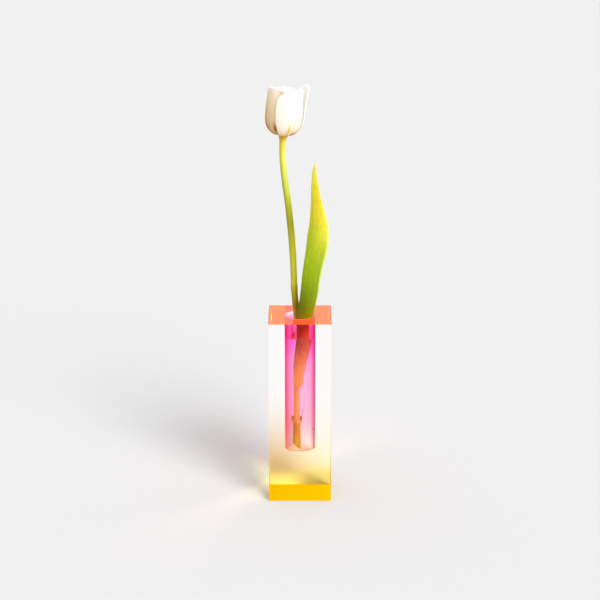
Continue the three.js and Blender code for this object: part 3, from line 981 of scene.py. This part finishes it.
# ---- The flower ----
def blade(name, at, grid):
    """A thin blade: a grid set on the middle surface at(u, v), thickened to both sides. u runs from -1 to 1
    across it and v from 0 to 1 along it, and so does its UV map, from 0 to 1 both ways."""
    across, along = grid
    piece = begin(
        bpy.ops.mesh.primitive_grid_add,
        name,
        x_subdivisions=across,
        y_subdivisions=along,
        size=2,
        calc_uvs=True,
    )
    for vertex in piece.data.vertices:
        vertex.co = Vector(at(vertex.co.x, (vertex.co.y + 1) / 2)) * MM
    modify(piece, "SOLIDIFY", thickness=BLADE * MM, offset=0, use_even_offset=False)
    modify(piece, "SUBSURF", levels=1, render_levels=1)
    outward(piece)
    select_only(piece)
    bpy.ops.object.shade_smooth()
    return piece


leaf_section = keyed(LEAF_SECTIONS)


def leaf_at(u, v):
    """A place on the leaf's middle surface, in millimetres."""
    z = LEAF_LOW + (LEAF_HIGH - LEAF_LOW) * v
    cx, cy, radius, half, midrib = leaf_section(z)
    angle = math.radians(midrib + u * half)
    return cx + radius * math.cos(angle), cy + radius * math.sin(angle), z


stem_centre = keyed(STEM_LINE)
stem_radius = keyed(STEM_RADII)


def stem_uv(co):
    """How far a point of the stem lies to its right, and how high."""
    z = co.z / MM
    return 0.5 + 0.5 * (co.x / MM - stem_centre(z)[0]) / stem_radius(z)[0], z / STEM_REACH


def stalk(name, rings, sides):
    """A round stalk, drawn up from a disc through rings of a centre and a radius, in millimetres."""
    centre, radius = rings[0]
    piece = begin(
        bpy.ops.mesh.primitive_circle_add,
        name,
        vertices=sides,
        radius=radius * MM,
        fill_type="NGON",
        location=centre * MM,
    )
    edit(piece, faces=lambda face: True)
    for (last, last_radius), (centre, radius) in zip(rings, rings[1:]):
        bpy.ops.mesh.extrude_region_move(TRANSFORM_OT_translate={"value": (centre - last) * MM})
        bpy.ops.transform.resize(value=(radius / last_radius,) * 2 + (1,), center_override=centre * MM)
    bpy.ops.object.mode_set(mode="OBJECT")
    outward(piece)
    select_only(piece)
    bpy.ops.object.shade_smooth_by_angle(angle=STALK_CRISP)
    return piece


def make_stem():
    """The stem, from its slanted cut to the receptacle under the petals."""
    between = np.arange(STEM_FOOT + 3 * RING_STEP, STEM_NECK, RING_STEP)
    heights = sorted([STEM_FOOT, *between, *JOINT_RINGS, *RECEPTACLE_RINGS])
    rings = [(Vector((*stem_centre(z), z)), stem_radius(z)[0]) for z in heights]
    end, end_radius = rings[-1]
    rings.append((end + Vector((0, 0, DOME_RISE)), end_radius - DOME_INSET))
    stem = stalk("stem_stalk", rings, STEM_SIDES)
    low_side = (stem_centre(STEM_FOOT)[0] + CUT_REACH) * MM
    for vertex in stem.data.vertices:
        if vertex.co.z < STEM_FOOT * MM + A_HAIR:
            vertex.co.z += CUT_SLOPE * (low_side - vertex.co.x)
    layer = stem.data.uv_layers[0]
    for loop in stem.data.loops:
        layer.data[loop.index].uv = stem_uv(stem.data.vertices[loop.vertex_index].co)
    dress(stem, [STEM])
    return place(stem, "stem", "stem")


def fibre(name, points, radius):
    """A thin dry fibre through points in millimetres, ending in a point."""
    spine = keyed([(i, *point) for i, point in enumerate(points)])
    steps = FIBRE_RINGS * (len(points) - 1)
    rings = []
    for i in range(steps + 1):
        rings.append((Vector(spine(i / FIBRE_RINGS)), radius * (1 - FIBRE_TAPER * i / steps)))
    piece = stalk(name, rings, FIBRE_SIDES)
    dress(piece, [FIBRE])
    return piece


def join(piece, others):
    """Makes one piece of several."""
    select_only(piece)
    for other in others:
        other.select_set(True)
    bpy.ops.object.join()
    return piece


def make_leaf():
    """The leaf, frayed at the foot of its sheath, with a few torn fibres along it."""
    across = LEAF_GRID[0]
    frays = np.random.default_rng(4).uniform(*LEAF_FRAY, across + 1)

    def frayed_at(u, v):
        x, y, z = leaf_at(u, v)
        fray = np.interp((u + 1) / 2 * across, range(across + 1), frays)
        return x, y, z + fray * max(0.0, 1 - v / SHEATH_FRAY)

    leaf = blade("leaf_blade", frayed_at, LEAF_GRID)
    dress(leaf, [LEAF])
    leaf = join(leaf, [fibre("leaf_fibre", points, LEAF_FIBRE_RADIUS) for points in LEAF_FIBRES])
    return place(leaf, "leaf", "leaf")


def make_torn_base():
    """A frayed collar round the joint, with one long strip and two short splinters standing from it."""
    cx, cy = stem_centre(TORN_JOINT)
    across = TORN_GRID[0]
    frays = np.random.default_rng(21).uniform(*TORN_FRAY, across + 1)
    teeth = len(TORN_TEETH) - 1

    def collar_at(u, v):
        angle = math.radians(TORN_SPREAD * u - 90)
        along = (u + 1) / 2
        tooth = np.interp(along * teeth, range(teeth + 1), TORN_TEETH)
        fray = np.interp(along * across, range(across + 1), frays)
        z = TORN_JOINT - TORN_FOOT + v * (TORN_FOOT + tooth + fray * v)
        radius = TORN_RADIUS + TORN_FLARE * v
        return cx + radius * math.cos(angle), cy + radius * math.sin(angle), z

    collar = blade("torn_collar", collar_at, TORN_GRID)
    dress(collar, [TORN])
    fibres = []
    for radius, points in TORN_FIBRES:
        line = [(cx + x, cy + y, TORN_JOINT + z) for x, y, z in points]
        fibres.append(fibre("torn_fibre", line, radius))
    torn = join(collar, fibres)
    return place(torn, "torn_leaf", "torn_leaf_base")


BLOOM_FOOT = Matrix.Translation(Vector((*stem_centre(STEM_TOP), STEM_TOP)))
BLOOM = BLOOM_FOOT @ Euler((0, BLOOM_LEAN, 0)).to_matrix().to_4x4()


def make_petal(name, rows, middle, belly, flare, length, width, blunt, seed):
    """A petal about the bloom's axis: waved at its edges, creased along its rib, ragged at its tip."""
    read = keyed(rows)
    edge, face, *tips = np.random.default_rng(seed).uniform(0, 2 * math.pi, 4)

    def at(u, v):
        radius, height, half = read(v)
        out = radius + belly * math.sin(math.pi * v) + flare * v**3
        angle = math.radians(middle) + u * (half * width + blunt * v**12) / out
        out += EDGE_WAVE * v * u**2 * math.sin(EDGE_TURNS * v + edge)
        out += FACE_WAVE * v * math.sin(FACE_TURNS * u + face)
        out -= CREASE_DEPTH * math.exp(-((u / CREASE_WIDTH) ** 2)) * (1 - v)
        rags = sum(rag * math.sin(turns * u + tip) for (rag, turns), tip in zip(TIP_RAGS, tips))
        droop = SIDE_DROOP * u**2 * v**2 + CORNER_DROOP * u**6 * v**8 + v**10 * (TIP_DROOP + rags)
        return BLOOM @ Vector((out * math.cos(angle), out * math.sin(angle), (height - droop) * length))

    petal = blade(name + "_blade", at, PETAL_GRID)
    dress(petal, [PETAL_LOOKS.get(name, PETAL)])
    return place(petal, "petal", name)


make_leaf()
make_stem()
make_torn_base()
for row in PETALS:
    make_petal(*row)


# ---- The inner parts, as the frame has them ----
for node, material in (("pistil", PISTIL), ("stamens", STAMEN)):
    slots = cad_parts[node].data.materials
    slots.clear()
    slots.append(material)


# ---- Floor, light and camera ----
def make_floor():
    """A white floor that runs out of the picture."""
    plane = bpy.ops.mesh.primitive_plane_add
    floor = begin(plane, "floor", size=FLOOR_SIZE, location=(0, 0, -FLOOR_DROP))
    sweep = blank("matt white sweep")
    add(sweep, "OutputMaterial", [add(sweep, "BsdfDiffuse", [linear(FLOOR_GREY)])])
    dress(floor, [sweep])


def make_light():
    """A white studio: even light from all round, and one very large soft light from the front right."""
    world = bpy.data.worlds.new("studio")
    bpy.context.scene.world = world
    world.use_nodes = True
    world.node_tree.nodes.clear()
    direction = add(world, "TexCoord", output="Generated")
    key = (
        math.cos(KEY_ELEVATION) * math.cos(KEY_AZIMUTH),
        math.cos(KEY_ELEVATION) * math.sin(KEY_AZIMUTH),
        math.sin(KEY_ELEVATION),
    )
    toward_key = add(world, "VectorMath", [direction, key], operation="DOT_PRODUCT")
    lobe = add(world, "MapRange", [toward_key, *KEY_SPAN, 0.0, KEY_STRENGTH], **SMOOTH)
    toward_front = add(world, "VectorMath", [direction, (0, -1, 0)], operation="DOT_PRODUCT")
    fill = add(world, "MapRange", [toward_front, *FILL_SPAN, FILL_BACK, FILL_FRONT], **SMOOTH)
    total = add(world, "Math", [lobe, fill], operation="ADD")
    add(world, "OutputWorld", [add(world, "Background", [WHITE, total])])
    world.cycles.sampling_method = "MANUAL"
    world.cycles.sample_map_resolution = LIGHT_MAP


def make_camera():
    """The camera in front of the vase, level from side to side."""
    data = bpy.data.cameras.new("camera")
    data.lens = CAMERA_LENS
    data.sensor_width = CAMERA_SENSOR
    camera = bpy.data.objects.new("camera", data)
    camera.location = CAMERA_PLACE
    camera.rotation_euler = (math.pi / 2 - CAMERA_PITCH, 0, 0)
    bpy.context.scene.collection.objects.link(camera)
    bpy.context.scene.camera = camera


make_floor()
make_light()
make_camera()

# Light crosses many clear faces and films on its way through the block.
scene = bpy.context.scene
scene.view_settings.view_transform = "Standard"
scene.cycles.max_bounces = 24
scene.cycles.transmission_bounces = 24
scene.cycles.glossy_bounces = 16
scene.cycles.diffuse_bounces = 4
scene.cycles.transparent_max_bounces = 48
scene.cycles.blur_glossy = 0.0
scene.cycles.caustics_reflective = False
scene.cycles.use_denoising = True
